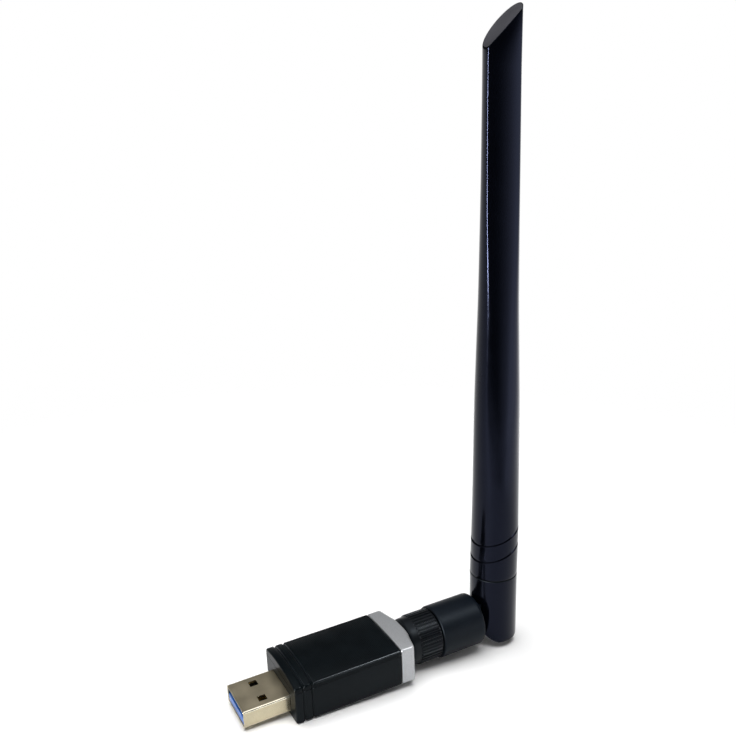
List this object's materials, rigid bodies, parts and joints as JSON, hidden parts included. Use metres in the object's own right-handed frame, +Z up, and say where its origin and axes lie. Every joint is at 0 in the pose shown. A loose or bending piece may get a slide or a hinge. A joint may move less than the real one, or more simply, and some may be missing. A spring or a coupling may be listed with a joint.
{
  "type": "usb wifi adapter",
  "caption": "USB type A wireless network adapter: flat black housing with a silver end cap, and a screw-on dipole antenna that swivels and folds.",
  "frame": {"origin": "centre of the footprint at the height of the lowest point, which is the underside of the round antenna base", "axes": "+X from the USB plug to the antenna hinge, +Z up along the upright antenna, +Y across the housing"},
  "size_m": [0.0832, 0.0192, 0.165],
  "materials": {
    "black_plastic": "satin moulded black",
    "antenna_plastic": "semi-gloss black",
    "silver_cap": "satin silver paint",
    "nickel_shell": "nickel-plated steel, warm tint",
    "blue_insulator": "moulded blue",
    "gold_contact": "gold-plated",
    "brass": "turned",
    "green_board": "solder mask over glass-epoxy board",
    "chip_epoxy": "matt black epoxy",
    "tinned_steel": "tin-plated sheet",
    "ceramic": "fired ceramic",
    "ferrite": "matt ferrite",
    "ptfe": "white PTFE",
    "steel": "ground steel",
    "copper": "drawn copper",
    "coax_jacket": "black cable jacket",
    "foam_ring": "grey foam"
  },
  "bodies": {
    "adapter": {"plug_shell": "nickel_shell", "plug_tongue": "blue_insulator", "contact_retainer": "black_plastic", "bottom_cover": "black_plastic", "top_cover": "black_plastic", "end_cap": "silver_cap", "circuit_board": "green_board", "shield_can": "tinned_steel", "wifi_chip": "chip_epoxy", "front_end_chip": "chip_epoxy", "crystal": "tinned_steel", "regulator_chip": "chip_epoxy", "power_inductor": "ferrite", "capacitor_1": "ceramic", "capacitor_2": "ceramic", "jack_body": "brass", "jack_insulator": "ptfe", "jack_pin": "gold_contact", "power_contact_1": "gold_contact", "power_contact_2": "gold_contact", "power_contact_3": "gold_contact", "power_contact_4": "gold_contact", "signal_contact_1": "gold_contact", "signal_contact_2": "gold_contact", "signal_contact_3": "gold_contact", "signal_contact_4": "gold_contact", "signal_contact_5": "gold_contact"},
    "connector": {"connector_ferrule": "brass", "connector_insulator": "ptfe", "connector_socket": "gold_contact", "coax_lower": "coax_jacket"},
    "nut": {"nut_shell": "black_plastic", "nut_insert": "brass"},
    "base": {"antenna_base": "black_plastic", "hinge_pin": "steel"},
    "antenna": {"knuckle": "antenna_plastic", "antenna_blade": "antenna_plastic", "coax_upper": "coax_jacket", "choke_sleeve": "brass", "radiator": "copper", "spacer_ring_1": "foam_ring", "spacer_ring_2": "foam_ring"}
  },
  "joints": [
    {"name": "antenna_unscrew", "type": "slide", "parent": "adapter", "child": "connector", "axis": [1, 0, 0], "range_m": [0, 0.00564]},
    {"name": "nut_turn", "type": "hinge", "parent": "connector", "child": "nut", "pos_m": [0.00514, 0, 0.007], "axis": [1, 0, 0], "range_deg": [0, 2880]},
    {"name": "base_swivel", "type": "hinge", "parent": "connector", "child": "base", "pos_m": [0.01444, 0, 0.007], "axis": [1, 0, 0], "continuous": true},
    {"name": "antenna_fold", "type": "hinge", "parent": "base", "child": "antenna", "pos_m": [0.03444, 0, 0.007], "axis": [0, 1, 0], "range_deg": [-0.86, 89.14]}
  ],
  "couplings": [
    {"joint": "nut_turn", "follows": "antenna_unscrew", "rad_per_m": 8905.3}
  ]
}
